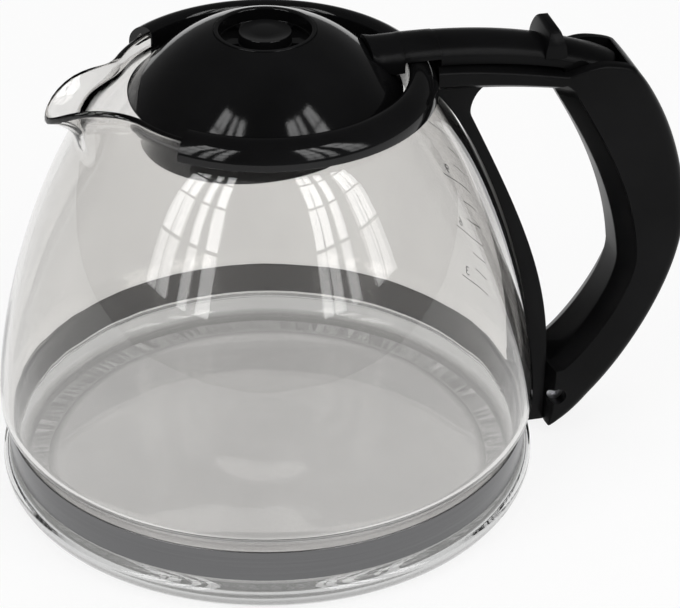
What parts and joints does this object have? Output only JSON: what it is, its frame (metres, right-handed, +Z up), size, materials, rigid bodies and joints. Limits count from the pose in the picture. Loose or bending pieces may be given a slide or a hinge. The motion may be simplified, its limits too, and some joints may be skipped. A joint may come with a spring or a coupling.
{
  "type": "coffee server",
  "caption": "Glass coffee server with a pouring lip, steel band, black grip and a hinged dome lid lifted by a thumb tab",
  "frame": {"origin": "middle of the jug on the surface it stands on", "axes": "+Z up, +X from the jug's axis to the grip, so the lip points to -X; the part is a mirror image of itself across the XZ plane, apart from the band's bolt"},
  "size_m": [0.1982, 0.154, 0.138],
  "materials": {
    "glass": "clear, blown",
    "band_steel": "brushed",
    "fastener_steel": "plated",
    "black_plastic": "gloss"
  },
  "bodies": {
    "jug": {"glass_jug": "glass", "steel_band": "band_steel", "band_bolt": "fastener_steel", "band_nut": "fastener_steel", "collar": "black_plastic", "collar_screws": "fastener_steel", "strap": "black_plastic", "strap_screws": "fastener_steel", "handle_shell": "black_plastic", "grip_cover": "black_plastic", "hinge_pin": "fastener_steel"},
    "lid": {"lid_dome": "black_plastic", "lid_skirt": "black_plastic", "inlet_insert": "black_plastic", "lid_lever": "black_plastic", "thumb_tab": "black_plastic", "lid_screws": "fastener_steel"}
  },
  "joints": [
    {"name": "lid_hinge", "type": "hinge", "parent": "jug", "child": "lid", "pos_m": [0.087, 0, 0.1175], "axis": [0, 1, 0], "range_deg": [0, 65]}
  ]
}
